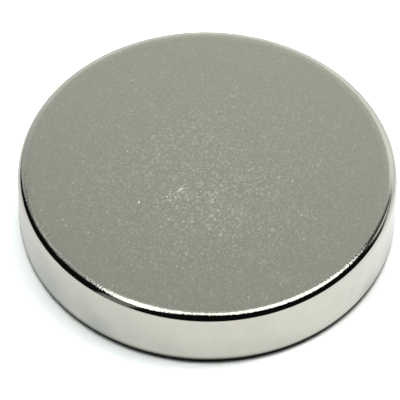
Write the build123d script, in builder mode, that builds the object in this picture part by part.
from build123d import *
import os

# Disc magnet: one sintered blank, ground flat and round, tumbled and plated.
# Millimetres, +Z up. The origin is the centre of the lower pole face.

# Driving dimensions
diameter = 25.4  # across the wall, a one inch stock size
thickness = 4.7625  # lower pole face to upper pole face, three sixteenths of an inch
edge_radius = 0.6  # tumbled edge, the same round both faces

# Where the straight runs of the half section meet the rounded edges
wall_reach = diameter / 2
face_reach = wall_reach - edge_radius
lower_wall_height = edge_radius
upper_wall_height = thickness - edge_radius

os.makedirs("parts", exist_ok=True)

# The disc is turned from half of its section. Each face runs out flat from the axis, rolls
# over a quarter round that is tangent to both of its neighbours, and drops into the wall.
with BuildPart() as magnet_disc:
    with BuildSketch(Plane.XZ) as half_section:
        with BuildLine() as outline:
            Line((0, 0), (face_reach, 0))
            CenterArc((face_reach, lower_wall_height), edge_radius, -90, 90)
            Line((wall_reach, lower_wall_height), (wall_reach, upper_wall_height))
            CenterArc((face_reach, upper_wall_height), edge_radius, 0, 90)
            Line((face_reach, thickness), (0, thickness))
            Line((0, thickness), (0, 0))
        make_face()
    revolve(axis=Axis.Z)

magnet_disc.part.label = "magnet_disc"
export_step(magnet_disc.part, "parts/magnet_disc.step")
